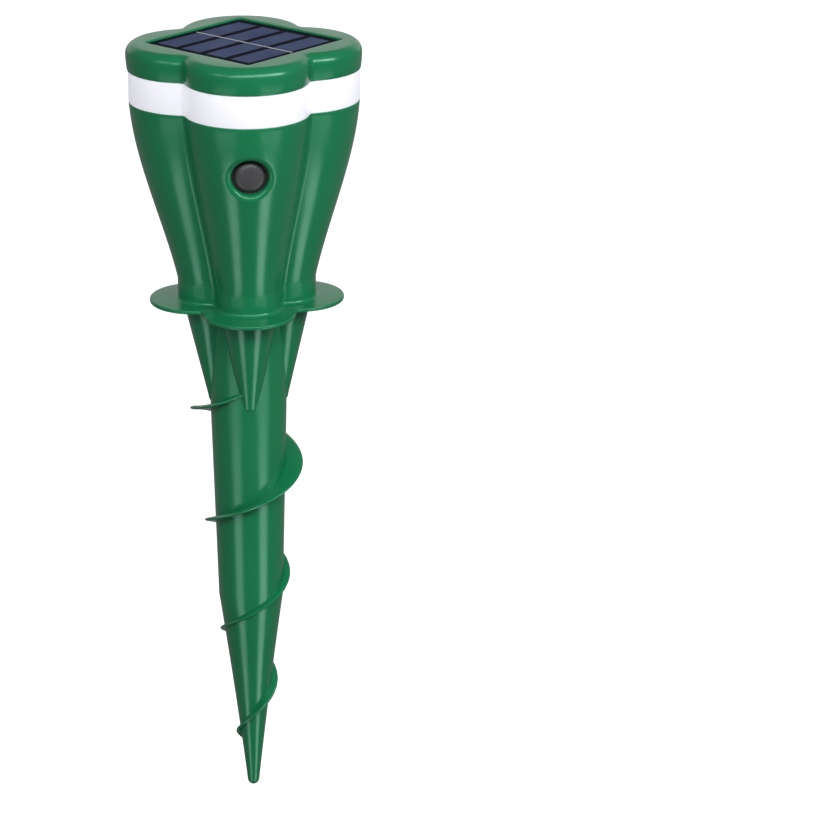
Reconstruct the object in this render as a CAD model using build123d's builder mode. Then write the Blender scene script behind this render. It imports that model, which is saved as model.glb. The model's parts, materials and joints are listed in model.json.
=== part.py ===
"""Solar garden repeller: a clover-shaped head with a solar lid, standing on a screw-shaped ground stake.

Millimetres, +Z up. The origin is the tip of the stake, the axis of the stake is Z, and the button
faces -Y.
"""

import os
from math import sqrt

from build123d import *

os.makedirs("parts", exist_ok=True)

# Heights, stacked from the stake's tip upwards
stake_length = 261.0
flange_thickness = 1.8
neck_height = 10.2
body_height = 86.7
band_height = 15.1
lid_height = 12.6

# Distances from the axis to the tip of a lobe
neck_reach = 33.0
flange_reach = 46.5
band_reach = 54.0
lid_overhang = 1.0

# Share of the reach at which a lobe's centre lies, and the rounding between two lobes
neck_spread = 0.54
flange_spread = 0.531
head_spread = 0.46
valley_radius = 3.0

# How steeply the body leaves the neck and reaches the light band, as shares of an even slope
neck_lean = 0.9
band_lean = 0.25
body_steps = 6

# Walls, roundings and fits
wall = 2.4
floor_thickness = 2.0
lid_roof = 1.8
lid_rounding = 3.7
neck_fillet = 1.8
flange_rounding = 0.6
socket_gap = 0.3
lip_gap = 0.15
hole_gap = 0.1
slide_gap = 0.05
stop_gap = 0.05

small_rounding = 0.5
plunger_play = 0.2
ledge_overlap = 0.4
wire_hole_radius = 0.9

# Seals and the lips that hold the light band
seal_thickness = 1.0
lip_thickness = 1.25
lip_height = 2.5
ledge_width = 2.0
ledge_height = 1.5

# Stake
spigot_height = 22.0
shaft_top_radius = 19.2
shaft_head = (18.4, stake_length - 56.0)
shaft_shoulder = (15.9, stake_length - 154.0)
shaft_belly = (8.3, 49.0)
shaft_point = (3.0, 3.2)
shaft_nose = (2.1, 0.93)
rib_radius = 14.0
rib_foot_radius = 4.3
rib_foot_centre = 15.1
rib_foot_height = stake_length - 48.5
core_radius = 15.0
core_foot_radius = 12.2
core_foot_height = stake_length - 143.0

# Flight of the stake's screw: one blade whose rim runs down a cone set a little to one side
flight_turns = 3
flight_first_turn = stake_length - 84.5
flight_last_turn = -0.5
flight_pitch = (flight_first_turn - flight_last_turn) / flight_turns
flight_start = stake_length - 37.0
flight_widest = (29.3, stake_length - 55.0)
flight_lowest = (9.6, 32.0)
flight_end = 19.0
flight_offset = 0.3
flight_rim = 1.8
flight_root = 3.0
flight_rail = 15.0
flight_inner_reach = 4.0
flight_spare = 3.0

# Solar panel, turned so that its corners point along the lobes
panel_side = 64.4
panel_gap = 0.3
panel_corner = 1.0
recess_depth = 3.2
pad_thickness = 0.8
panel_board_thickness = 1.2
cell_thickness = 0.25
resin_thickness = 0.45
cell_rows = 4
cell_gap = 3.8
cell_split = 1.8
cell_margin = 4.5
cell_side_margin = 3.7
ribbon_width = 0.9
ribbon_margin = 2.2

# Screws
lid_screw_radius = 1.5
lid_screw_length = 25.0
small_screw_radius = 1.0
small_screw_length = 8.0
switch_screw_length = 5.6
guide_screw_length = 4.8
guide_screw_hole = 4.0
head_share = 1.9
screw_slot = 0.7

# Bosses of the lid screws
boss_circle = 28.5
boss_radius = 3.75
boss_rise = 5.3
boss_column = 30.0
lid_boss_radius = 5.2
screw_seat_depth = 4.8

# Main circuit board, hung from the lid
board_reach = 41.0
board_notch_gap = 1.0
board_thickness = 1.6
post_circle = 26.0
post_radius = 3.0
post_length = 10.4
led_circle = 35.0
led_angle = 11.0
led_side = 5.0
led_height = 1.5
socket_pitch = 8.2
socket_width = 6.0
socket_depth = 4.4
socket_height = 4.4
reflector_thickness = 1.2
reflector_inset = 6.5
reflector_eye = 12.5
chip_side = 8.0
chip_height = 1.4
chip_bevel = 0.3
chip_place = (15.0, 5.0)
capacitor_radius = 3.15
capacitor_height = 4.2
capacitor_places = [(-16.0, 7.0), (16.0, -7.0)]
coil_place = (-16.0, -7.0)
coil_radius = 4.0
coil_waist = 3.0
coil_rim = 1.0
coil_winding = 2.0

# Battery, upright in the rear lobe
cell_radius = 7.1
battery_length = 50.0
battery_nub_radius = 2.7
battery_nub_height = 1.2
battery_place = 15.0
holder_width = 18.6
holder_depth = 17.6
holder_plate = 2.0
holder_mouth = 12.0
holder_corner = 2.0
contact_thickness = 0.4
contact_inset = 1.0

# Sounder, on the floor of the front lobe
sounder_place = 15.0
sounder_radius = 11.0
sounder_height = 7.0
sounder_wall = 1.2
disc_thickness = 0.4
sound_hole_radius = 5.0

# Button, on the front lobe
button_rise = 62.0
button_radius = 7.0
button_dome = 1.8
button_travel = 1.0
button_flange_radius = 8.3
button_flange_thickness = 1.4
button_stem_radius = 2.5
eye_radius = 8.4
eye_front = 47.3
eye_rounding = 3.4
eye_back = 44.0
collar_radius = 14.0
collar_back = 40.0
guide_radius = 9.9
guide_plate = 1.5
guide_flange = 1.6
guide_wall = 1.5
guide_post_place = 10.5
guide_post_radius = 2.0
guide_post_length = 6.4
switch_board_width = 26.0
switch_board_height = 12.0
switch_board_thickness = 1.2
switch_board_corner = 1.0
switch_side = 6.2
switch_depth = 3.6
plunger_radius = 1.7
plunger_rise = 1.4
plunger_reach = 1.4

# Insulated leads inside the head
lead_radius = 0.6
lead_spacing = 4.0

# Sizes and levels that follow from the ones above
lid_reach = band_reach + lid_overhang
cell_length = (panel_side - cell_split) / 2 - cell_margin
cell_width = (panel_side - 2 * cell_side_margin - (cell_rows - 1) * cell_gap) / cell_rows
flange_top = stake_length + flange_thickness
neck_top = flange_top + neck_height
body_top = neck_top + body_height
band_top = body_top + band_height
button_height = neck_top + button_rise
lid_top = band_top + lid_height
spigot_top = stake_length + spigot_height
socket_top = spigot_top + seal_thickness
floor_top = socket_top + floor_thickness
recess_floor = lid_top - recess_depth
roof_underside = recess_floor - lid_roof
boss_top = body_top + boss_rise
reflector_top = boss_top + reflector_thickness
board_top = roof_underside - post_length
board_underside = board_top - board_thickness
lip_bottom = body_top - lip_height
lip_top = band_top + lip_height


def clover(reach, spread, inset=0.0):
    """Outline of four round lobes on the X and Y axes, joined by hollows on the diagonals.

    The inset moves the whole outline inwards by an even amount.
    """
    centre = reach * spread
    lobe = reach - centre - inset
    hollow = valley_radius + inset
    hollow_place = centre / sqrt(2) + sqrt((lobe + hollow) ** 2 - centre**2 / 2)
    lobe_centre = Vector(centre, 0)
    hollow_centre = Vector(hollow_place, 0).rotate(Axis.Z, 45)
    upper = lobe_centre + (hollow_centre - lobe_centre) * (lobe / (lobe + hollow))
    lower = Vector(upper.X, -upper.Y)
    tip = Vector(centre + lobe, 0)
    valley = Vector(hollow_place - hollow, 0).rotate(Axis.Z, 45)
    with BuildSketch() as outline:
        with BuildLine():
            for turn in range(0, 360, 90):
                ThreePointArc(*[point.rotate(Axis.Z, turn) for point in (lower, tip, upper)])
                next_lower = lower.rotate(Axis.Z, 90)
                ThreePointArc(*[point.rotate(Axis.Z, turn) for point in (upper, valley, next_lower)])
        make_face()
    return outline.sketch


def body_outline(share, inset=0.0):
    """Outline of the body at a share of its height, 0 at the neck and 1 at the light band."""
    rise = share**2 * (3 - 2 * share)
    rise += neck_lean * share * (1 - share) ** 2
    rise -= band_lean * share**2 * (1 - share)
    reach = neck_reach + (band_reach - neck_reach) * rise
    spread = neck_spread + (head_spread - neck_spread) * share
    return clover(reach, spread, inset)


def screw(radius, length):
    """Pan-head screw along Z, its head's seat at the origin and its point down."""
    head_radius = radius * head_share
    with BuildPart() as body:
        with BuildSketch(Plane.XZ):
            with BuildLine():
                Polyline((0, -length), (radius * 0.4, -length), (radius, -length + radius), (radius, 0))
                Line((radius, 0), (head_radius, 0))
                ThreePointArc((head_radius, 0), (head_radius * 0.75, radius * 0.85), (0, radius * 1.2))
                Line((0, radius * 1.2), (0, -length))
            make_face()
        revolve(axis=Axis.Z)
        with BuildSketch(Plane.XY.offset(radius * 0.5)):
            with PolarLocations(0, 2, angular_range=180):
                Rectangle(head_radius, screw_slot)
        extrude(amount=radius, mode=Mode.SUBTRACT)
    return body.part


def lead(points, radii):
    """Round insulated wire through the given points, each corner on its own arc."""
    with BuildPart() as wire:
        with BuildLine() as route:
            FilletPolyline(*points, radius=radii)
        with BuildSketch(Plane(origin=route.line @ 0, z_dir=route.line % 0)):
            Circle(lead_radius)
        sweep()
    return wire.part


# Stake: a hollow, tapered shaft with four ribs under the head and one screw-like blade

with BuildPart() as flight_envelope:
    with BuildSketch(Plane.XZ):
        with BuildLine():
            Polyline(
                (0, flight_end),
                (shaft_point[0], flight_end),
                flight_lowest,
                flight_widest,
                (shaft_shoulder[0], flight_start),
                (0, flight_start),
                close=True,
            )
        make_face()
    revolve(axis=Axis.Z)

flight_outer_reach = flight_widest[0] + flight_spare

with BuildPart() as flight:
    with BuildLine() as flight_path:
        Helix(
            pitch=flight_pitch,
            height=flight_pitch * (flight_turns + 1),
            radius=flight_rail,
            center=(0, 0, flight_last_turn),
        )
    with BuildSketch(Plane(flight_path.line @ 0, x_dir=(1, 0, 0), z_dir=flight_path.line % 0)):
        with BuildLine():
            Polyline(
                (flight_inner_reach - flight_rail, -flight_root / 2),
                (flight_outer_reach - flight_rail, -flight_rim / 2),
                (flight_outer_reach - flight_rail, flight_rim / 2),
                (flight_inner_reach - flight_rail, flight_root / 2),
                close=True,
            )
        make_face()
    sweep(path=flight_path.line, is_frenet=True)
    add(flight_envelope.part, mode=Mode.INTERSECT)

rib_centre = neck_reach - wall - rib_radius

with BuildPart() as rib:
    with BuildSketch(Plane.XY.offset(stake_length)):
        with Locations((rib_centre, 0)):
            Circle(rib_radius)
    with BuildSketch(Plane.XY.offset(rib_foot_height)):
        with Locations((rib_foot_centre, 0)):
            Circle(rib_foot_radius)
    loft()
    with Locations((rib_foot_centre, 0, rib_foot_height)):
        Sphere(rib_foot_radius)
    with BuildSketch():
        add(clover(neck_reach, neck_spread, wall + socket_gap))
    extrude(amount=stake_length, mode=Mode.INTERSECT)

with BuildPart() as stake:
    with BuildSketch(Plane.XZ):
        with BuildLine():
            ThreePointArc((0, 0), shaft_nose, shaft_point)
            ThreePointArc(shaft_point, shaft_belly, shaft_shoulder)
            Polyline(shaft_shoulder, shaft_head, (shaft_top_radius, stake_length), (0, stake_length), (0, 0))
        make_face()
    revolve(axis=Axis.Z)
    with PolarLocations(0, 4):
        add(rib.part)
    with Locations((flight_offset, 0, 0)):
        add(flight.part)
    with BuildSketch(Plane.XY.offset(stake_length)):
        add(clover(neck_reach, neck_spread, wall + socket_gap))
    extrude(amount=spigot_height)
    with BuildSketch(Plane.XY.offset(core_foot_height)):
        Circle(core_foot_radius)
    with BuildSketch(Plane.XY.offset(spigot_top)):
        Circle(core_radius)
    loft(mode=Mode.SUBTRACT)
stake.part.label = "stake"
export_step(stake.part, "parts/stake.step")

# Housing: flange, neck and swelling body in one moulding, open at the top, with a socket below

body_shares = [step / (body_steps - 1) for step in range(body_steps)]
floor_share = (floor_top - neck_top) / body_height
cavity_shares = [floor_share] + [share for share in body_shares if share > floor_share]

with BuildPart() as cavity:
    for share in cavity_shares:
        with BuildSketch(Plane.XY.offset(neck_top + share * body_height)):
            add(body_outline(share, wall))
    loft()
    with BuildSketch(Plane.XY.offset(floor_top)):
        with PolarLocations(boss_circle, 4, start_angle=45):
            Circle(boss_radius)
    extrude(amount=body_height, mode=Mode.SUBTRACT)
    with BuildSketch(Plane.XZ.offset(collar_back)):
        with Locations((0, button_height)):
            Circle(collar_radius)
    extrude(amount=band_reach - collar_back, mode=Mode.SUBTRACT)

with BuildPart() as housing:
    with BuildSketch(Plane.XY.offset(stake_length)):
        add(clover(flange_reach, flange_spread))
    extrude(amount=flange_thickness)
    fillet(housing.faces().sort_by(Axis.Z)[-1].edges(), flange_rounding)
    with BuildSketch(Plane.XY.offset(flange_top)):
        add(clover(neck_reach, neck_spread))
    extrude(amount=neck_height)
    flange_face = housing.faces().filter_by_position(Axis.Z, flange_top, flange_top).sort_by(SortBy.AREA)[-1]
    fillet(flange_face.inner_wires()[0].edges(), neck_fillet)
    for share in body_shares:
        with BuildSketch(Plane.XY.offset(neck_top + share * body_height)):
            add(body_outline(share))
    loft()
    add(cavity.part, mode=Mode.SUBTRACT)
    with BuildSketch(Plane.XY.offset(stake_length)):
        add(clover(neck_reach, neck_spread, wall))
    extrude(amount=socket_top - stake_length, mode=Mode.SUBTRACT)
    with BuildSketch(Plane.XY.offset(lip_bottom - seal_thickness)):
        add(clover(band_reach, head_spread, wall))
    extrude(amount=lip_height + seal_thickness, mode=Mode.SUBTRACT)
    with BuildSketch(Plane.XY.offset(boss_top)):
        with PolarLocations(boss_circle, 4, start_angle=45):
            Circle(boss_radius)
    extrude(amount=-boss_column)
    with BuildSketch(Plane.XY.offset(lip_bottom - seal_thickness - ledge_height)):
        add(clover(band_reach, head_spread, wall - ledge_overlap))
        add(clover(band_reach, head_spread, wall + ledge_width), mode=Mode.SUBTRACT)
    extrude(amount=ledge_height)
    with Locations(Plane.XY.offset(boss_top)):
        with PolarLocations(boss_circle, 4, start_angle=45):
            Hole(lid_screw_radius + slide_gap, depth=lid_screw_length)
    with BuildSketch(Plane.XY.offset(socket_top)):
        with Locations((0, -sounder_place)):
            Circle(sound_hole_radius)
    extrude(amount=floor_thickness, mode=Mode.SUBTRACT)
    with BuildSketch(Plane.XZ.offset(collar_back)):
        with Locations((0, button_height)):
            Circle(guide_radius + hole_gap)
    extrude(amount=eye_back - collar_back, mode=Mode.SUBTRACT)
    with BuildSketch(Plane.XZ.offset(eye_back)):
        with Locations((0, button_height)):
            Circle(eye_radius)
    extrude(amount=band_reach - eye_back, mode=Mode.SUBTRACT)
    eye_edges = housing.edges().filter_by_position(Axis.Y, -band_reach, -eye_front)
    eye_edges = eye_edges.filter_by_position(Axis.Z, button_height - eye_radius, button_height + eye_radius)
    fillet(eye_edges.sort_by(SortBy.LENGTH)[-1], eye_rounding)
    with BuildSketch(Plane.XZ.offset(collar_back)):
        with Locations((0, button_height)):
            with PolarLocations(guide_radius + guide_post_radius, 2, start_angle=90):
                Circle(small_screw_radius + slide_gap)
    extrude(amount=guide_screw_hole, mode=Mode.SUBTRACT)
housing.part.label = "housing"
export_step(housing.part, "parts/housing.step")

with BuildPart() as socket_seal:
    with BuildSketch(Plane.XY.offset(spigot_top)):
        add(clover(neck_reach, neck_spread, wall + socket_gap))
        Circle(core_radius, mode=Mode.SUBTRACT)
    extrude(amount=seal_thickness)
socket_seal.part.label = "socket_seal"
export_step(socket_seal.part, "parts/socket_seal.step")

# Light band with a lip above and below, and the seal that each lip presses

with BuildPart() as light_band:
    with BuildSketch(Plane.XY.offset(body_top)):
        add(clover(band_reach, head_spread))
        add(clover(band_reach, head_spread, wall + lip_gap + lip_thickness), mode=Mode.SUBTRACT)
    extrude(amount=band_height)
    with BuildSketch(Plane.XY.offset(lip_bottom)):
        add(clover(band_reach, head_spread, wall + lip_gap))
        add(clover(band_reach, head_spread, wall + lip_gap + lip_thickness), mode=Mode.SUBTRACT)
    extrude(amount=lip_top - lip_bottom)
light_band.part.label = "light_band"
export_step(light_band.part, "parts/light_band.step")

with BuildPart() as band_seals:
    for level in (lip_bottom - seal_thickness, lip_top):
        with BuildSketch(Plane.XY.offset(level)):
            add(clover(band_reach, head_spread, wall + lip_gap))
            add(clover(band_reach, head_spread, wall + lip_gap + lip_thickness), mode=Mode.SUBTRACT)
    extrude(amount=seal_thickness)
band_seals.part.label = "band_seals"
export_step(band_seals.part, "parts/band_seals.step")

# Lid with the square recess of the solar panel, screw bosses and the posts of the circuit board

panel_plane = Plane(origin=(0, 0, recess_floor), x_dir=(1, 1, 0), z_dir=(0, 0, 1))

with BuildPart() as lid:
    with BuildSketch(Plane.XY.offset(band_top)):
        add(clover(lid_reach, head_spread))
    extrude(amount=lid_height)
    fillet(lid.faces().sort_by(Axis.Z)[-1].edges(), lid_rounding)
    with BuildSketch(Plane.XY.offset(band_top)):
        add(clover(band_reach, head_spread, wall))
    extrude(amount=lip_height + seal_thickness, mode=Mode.SUBTRACT)
    with BuildSketch(Plane.XY.offset(lip_top + seal_thickness)):
        add(clover(band_reach, head_spread, wall + ledge_width))
    extrude(amount=roof_underside - lip_top - seal_thickness, mode=Mode.SUBTRACT)
    with BuildSketch(panel_plane):
        RectangleRounded(panel_side + 2 * panel_gap, panel_side + 2 * panel_gap, panel_corner)
    extrude(amount=recess_depth, mode=Mode.SUBTRACT)
    with BuildSketch(Plane.XY.offset(roof_underside)):
        with PolarLocations(boss_circle, 4, start_angle=45):
            Circle(lid_boss_radius)
    extrude(amount=reflector_top - roof_underside)
    with BuildSketch(Plane.XY.offset(roof_underside)):
        with PolarLocations(post_circle, 4):
            Circle(post_radius)
    extrude(amount=-post_length)
    with Locations(Plane.XY.offset(recess_floor)):
        with PolarLocations(boss_circle, 4, start_angle=45):
            CounterBoreHole(
                radius=lid_screw_radius + hole_gap,
                counter_bore_radius=lid_screw_radius * head_share + hole_gap * 2,
                counter_bore_depth=screw_seat_depth,
                depth=lid_height * 2,
            )
        with GridLocations(lead_spacing, 0, 2, 1):
            Hole(wire_hole_radius, depth=lid_roof)
    with BuildSketch(Plane.XY.offset(board_top)):
        with PolarLocations(post_circle, 4):
            Circle(small_screw_radius + slide_gap)
    extrude(amount=small_screw_length, mode=Mode.SUBTRACT)
lid.part.label = "lid"
export_step(lid.part, "parts/lid.step")

with BuildPart() as lid_screws:
    with Locations(Plane.XY.offset(recess_floor - screw_seat_depth)):
        with PolarLocations(boss_circle, 4, start_angle=45):
            add(screw(lid_screw_radius, lid_screw_length))
lid_screws.part.label = "lid_screws"
export_step(lid_screws.part, "parts/lid_screws.step")

# Solar panel: foam pad, board, two columns of cells, the ribbon between them and a clear coat

with BuildPart() as panel_pad:
    with BuildSketch(panel_plane):
        RectangleRounded(panel_side, panel_side, panel_corner)
    extrude(amount=pad_thickness)
    with Locations(Plane.XY.offset(recess_floor + pad_thickness)):
        with GridLocations(lead_spacing, 0, 2, 1):
            Hole(wire_hole_radius, depth=pad_thickness)
panel_pad.part.label = "panel_pad"
export_step(panel_pad.part, "parts/panel_pad.step")

with BuildPart() as panel_board:
    with BuildSketch(panel_plane.offset(pad_thickness)):
        RectangleRounded(panel_side, panel_side, panel_corner)
    extrude(amount=panel_board_thickness)
panel_board.part.label = "panel_board"
export_step(panel_board.part, "parts/panel_board.step")

cell_plane = panel_plane.offset(pad_thickness + panel_board_thickness)

with BuildPart() as solar_cells:
    with BuildSketch(cell_plane):
        with GridLocations(cell_length + cell_split, cell_width + cell_gap, 2, cell_rows):
            Rectangle(cell_length, cell_width)
    extrude(amount=cell_thickness)
solar_cells.part.label = "solar_cells"
export_step(solar_cells.part, "parts/solar_cells.step")

with BuildPart() as bus_ribbon:
    with BuildSketch(cell_plane):
        Rectangle(ribbon_width, panel_side - 2 * ribbon_margin)
    extrude(amount=cell_thickness)
bus_ribbon.part.label = "bus_ribbon"
export_step(bus_ribbon.part, "parts/bus_ribbon.step")

with BuildPart() as panel_coat:
    with BuildSketch(cell_plane):
        RectangleRounded(panel_side, panel_side, panel_corner)
    extrude(amount=resin_thickness)
    add(solar_cells.part, mode=Mode.SUBTRACT)
    add(bus_ribbon.part, mode=Mode.SUBTRACT)
panel_coat.part.label = "panel_coat"
export_step(panel_coat.part, "parts/panel_coat.step")

# Reflector, clamped between the bosses of the body and those of the lid

with BuildPart() as reflector:
    with BuildSketch(Plane.XY.offset(boss_top)):
        add(clover(band_reach, head_spread, reflector_inset))
        Circle(reflector_eye, mode=Mode.SUBTRACT)
        with PolarLocations(boss_circle, 4, start_angle=45):
            Circle(lid_screw_radius + hole_gap, mode=Mode.SUBTRACT)
    extrude(amount=reflector_thickness)
reflector.part.label = "reflector"
export_step(reflector.part, "parts/reflector.step")

# Main circuit board, parts downwards, with its lamps around the rim

with BuildPart() as main_board:
    with BuildSketch(Plane.XY.offset(board_underside)):
        add(clover(board_reach, head_spread))
        with PolarLocations(boss_circle, 4, start_angle=45):
            Circle(lid_boss_radius + board_notch_gap, mode=Mode.SUBTRACT)
        with PolarLocations(post_circle, 4):
            Circle(small_screw_radius + hole_gap, mode=Mode.SUBTRACT)
    extrude(amount=board_thickness)
main_board.part.label = "main_board"
export_step(main_board.part, "parts/main_board.step")

with BuildPart() as board_screws:
    with Locations(Plane(origin=(0, 0, board_underside), x_dir=(1, 0, 0), z_dir=(0, 0, -1))):
        with PolarLocations(post_circle, 4):
            add(screw(small_screw_radius, small_screw_length))
board_screws.part.label = "board_screws"
export_step(board_screws.part, "parts/board_screws.step")

with BuildPart() as leds:
    with BuildSketch(Plane.XY.offset(board_underside)):
        for angle in (-led_angle, led_angle):
            with PolarLocations(led_circle, 4, start_angle=angle):
                Rectangle(led_side, led_side)
    extrude(amount=-led_height)
    fillet(leds.edges().filter_by(Axis.Z), small_rounding)
leds.part.label = "leds"
export_step(leds.part, "parts/leds.step")

with BuildPart() as controller_chip:
    with Locations((*chip_place, board_underside - chip_height / 2)):
        Box(chip_side, chip_side, chip_height)
    chamfer(controller_chip.faces().sort_by(Axis.Z)[0].edges(), chip_bevel)
controller_chip.part.label = "controller_chip"
export_step(controller_chip.part, "parts/controller_chip.step")

with BuildPart() as capacitors:
    with BuildSketch(Plane.XY.offset(board_underside)):
        with Locations(capacitor_places):
            Circle(capacitor_radius)
    extrude(amount=-capacitor_height)
    fillet(capacitors.faces().sort_by(Axis.Z)[:2].edges(), small_rounding)
capacitors.part.label = "capacitors"
export_step(capacitors.part, "parts/capacitors.step")

with BuildPart() as boost_coil:
    with BuildSketch(Plane.XY.offset(board_underside)):
        with Locations(coil_place):
            Circle(coil_radius)
    extrude(amount=-coil_rim)
    with BuildSketch(Plane.XY.offset(board_underside - coil_rim)):
        with Locations(coil_place):
            Circle(coil_waist)
    extrude(amount=-coil_winding)
    with BuildSketch(Plane.XY.offset(board_underside - coil_rim - coil_winding)):
        with Locations(coil_place):
            Circle(coil_radius)
    extrude(amount=-coil_rim)
boost_coil.part.label = "boost_coil"
export_step(boost_coil.part, "parts/boost_coil.step")

with BuildPart() as lead_sockets:
    with BuildSketch(Plane.XY.offset(board_underside)):
        with GridLocations(0, socket_pitch, 1, 3):
            Rectangle(socket_width, socket_depth)
    extrude(amount=-socket_height)
lead_sockets.part.label = "lead_sockets"
export_step(lead_sockets.part, "parts/lead_sockets.step")

# Battery in its holder

holder_bottom = floor_top
contact_bottom = holder_bottom + holder_plate
can_bottom = contact_bottom + contact_thickness
can_top = can_bottom + battery_length
nub_top = can_top + battery_nub_height
holder_roof = nub_top + contact_thickness
holder_top = holder_roof + holder_plate

with BuildPart() as battery_holder:
    with BuildSketch(Plane.XY.offset(holder_bottom)):
        with Locations((0, battery_place)):
            RectangleRounded(holder_width, holder_depth, holder_corner)
    extrude(amount=holder_top - holder_bottom)
    with BuildSketch(Plane.XY.offset(contact_bottom)):
        with Locations((0, battery_place)):
            Circle(cell_radius + hole_gap)
        with Locations((0, battery_place - holder_depth / 2)):
            Rectangle(holder_mouth, holder_depth)
    extrude(amount=holder_roof - contact_bottom, mode=Mode.SUBTRACT)
battery_holder.part.label = "battery_holder"
export_step(battery_holder.part, "parts/battery_holder.step")

with BuildPart() as battery_can:
    with BuildSketch(Plane.XY.offset(can_bottom)):
        with Locations((0, battery_place)):
            Circle(cell_radius)
    extrude(amount=battery_length)
    fillet(battery_can.edges(), small_rounding)
battery_can.part.label = "battery_can"
export_step(battery_can.part, "parts/battery_can.step")

with BuildPart() as battery_nub:
    with BuildSketch(Plane.XY.offset(can_top)):
        with Locations((0, battery_place)):
            Circle(battery_nub_radius)
    extrude(amount=battery_nub_height)
    fillet(battery_nub.faces().sort_by(Axis.Z)[-1].edges(), small_rounding)
battery_nub.part.label = "battery_nub"
export_step(battery_nub.part, "parts/battery_nub.step")

with BuildPart() as battery_contacts:
    for level in (contact_bottom, nub_top):
        with BuildSketch(Plane.XY.offset(level)):
            with Locations((0, battery_place)):
                Circle(cell_radius - contact_inset)
    extrude(amount=contact_thickness)
battery_contacts.part.label = "battery_contacts"
export_step(battery_contacts.part, "parts/battery_contacts.step")

# Sounder: a can open towards the hole in the floor, with a brass disc across it

with BuildPart() as sounder_can:
    with BuildSketch(Plane.XY.offset(floor_top)):
        with Locations((0, -sounder_place)):
            Circle(sounder_radius)
    extrude(amount=sounder_height)
    fillet(sounder_can.faces().sort_by(Axis.Z)[-1].edges(), small_rounding)
    with BuildSketch(Plane.XY.offset(floor_top)):
        with Locations((0, -sounder_place)):
            Circle(sounder_radius - sounder_wall)
    extrude(amount=sounder_height - sounder_wall, mode=Mode.SUBTRACT)
sounder_can.part.label = "sounder_can"
export_step(sounder_can.part, "parts/sounder_can.step")

with BuildPart() as sounder_disc:
    with BuildSketch(Plane.XY.offset(floor_top + sounder_height / 2)):
        with Locations((0, -sounder_place)):
            Circle(sounder_radius - sounder_wall)
    extrude(amount=disc_thickness)
sounder_disc.part.label = "sounder_disc"
export_step(sounder_disc.part, "parts/sounder_disc.step")

# Button, its guide cup behind the wall, and the switch that it presses

guide_front = eye_back
guide_hollow = guide_front - guide_plate
flange_back = guide_hollow - stop_gap - button_flange_thickness
guide_back = collar_back - guide_flange
post_end = guide_back - guide_post_length
switch_front = post_end + switch_depth
plunger_front = switch_front + plunger_rise

with BuildPart() as button:
    with BuildSketch(Plane.XZ.offset(flange_back)):
        with Locations((0, button_height)):
            Circle(button_flange_radius)
    extrude(amount=button_flange_thickness)
    with BuildSketch(Plane.XZ.offset(flange_back)):
        with Locations((0, button_height)):
            Circle(button_radius)
    extrude(amount=eye_front - flange_back)
    fillet(button.faces().sort_by(Axis.Y)[0].edges(), button_dome)
    with BuildSketch(Plane.XZ.offset(plunger_front)):
        with Locations((0, button_height)):
            Circle(button_stem_radius)
    extrude(amount=flange_back - plunger_front)
button.part.label = "button"
export_step(button.part, "parts/button.step")

with BuildPart() as button_guide:
    with BuildSketch(Plane.XZ.offset(guide_back)):
        with Locations((0, button_height)):
            Circle(collar_radius)
    extrude(amount=guide_flange)
    with BuildSketch(Plane.XZ.offset(collar_back)):
        with Locations((0, button_height)):
            Circle(guide_radius)
    extrude(amount=guide_front - collar_back)
    with BuildSketch(Plane.XZ.offset(guide_back)):
        with Locations((0, button_height)):
            Circle(guide_radius - guide_wall)
    extrude(amount=guide_hollow - guide_back, mode=Mode.SUBTRACT)
    with BuildSketch(Plane.XZ.offset(guide_hollow)):
        with Locations((0, button_height)):
            Circle(button_radius + slide_gap)
    extrude(amount=guide_plate, mode=Mode.SUBTRACT)
    with BuildSketch(Plane.XZ.offset(post_end)):
        with Locations((0, button_height)):
            with PolarLocations(guide_post_place, 2):
                Circle(guide_post_radius)
    extrude(amount=guide_post_length)
    with BuildSketch(Plane.XZ.offset(post_end)):
        with Locations((0, button_height)):
            with PolarLocations(guide_post_place, 2):
                Circle(small_screw_radius + slide_gap)
    extrude(amount=switch_screw_length, mode=Mode.SUBTRACT)
    with BuildSketch(Plane.XZ.offset(guide_back)):
        with Locations((0, button_height)):
            with PolarLocations(guide_radius + guide_post_radius, 2, start_angle=90):
                Circle(small_screw_radius + slide_gap)
    extrude(amount=guide_flange, mode=Mode.SUBTRACT)
button_guide.part.label = "button_guide"
export_step(button_guide.part, "parts/button_guide.step")

with BuildPart() as guide_screws:
    with Locations(Plane(origin=(0, -guide_back, button_height), x_dir=(1, 0, 0), z_dir=(0, 1, 0))):
        with PolarLocations(guide_radius + guide_post_radius, 2, start_angle=90):
            add(screw(small_screw_radius, guide_screw_length))
guide_screws.part.label = "guide_screws"
export_step(guide_screws.part, "parts/guide_screws.step")

with BuildPart() as switch_board:
    with BuildSketch(Plane.XZ.offset(post_end - switch_board_thickness)):
        with Locations((0, button_height)):
            RectangleRounded(switch_board_width, switch_board_height, switch_board_corner)
            with PolarLocations(guide_post_place, 2):
                Circle(small_screw_radius + slide_gap, mode=Mode.SUBTRACT)
    extrude(amount=switch_board_thickness)
switch_board.part.label = "switch_board"
export_step(switch_board.part, "parts/switch_board.step")

with BuildPart() as switch_screws:
    with Locations(
        Plane(
            origin=(0, switch_board_thickness - post_end, button_height),
            x_dir=(1, 0, 0),
            z_dir=(0, 1, 0),
        )
    ):
        with PolarLocations(guide_post_place, 2):
            add(screw(small_screw_radius, switch_screw_length))
switch_screws.part.label = "switch_screws"
export_step(switch_screws.part, "parts/switch_screws.step")

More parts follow.
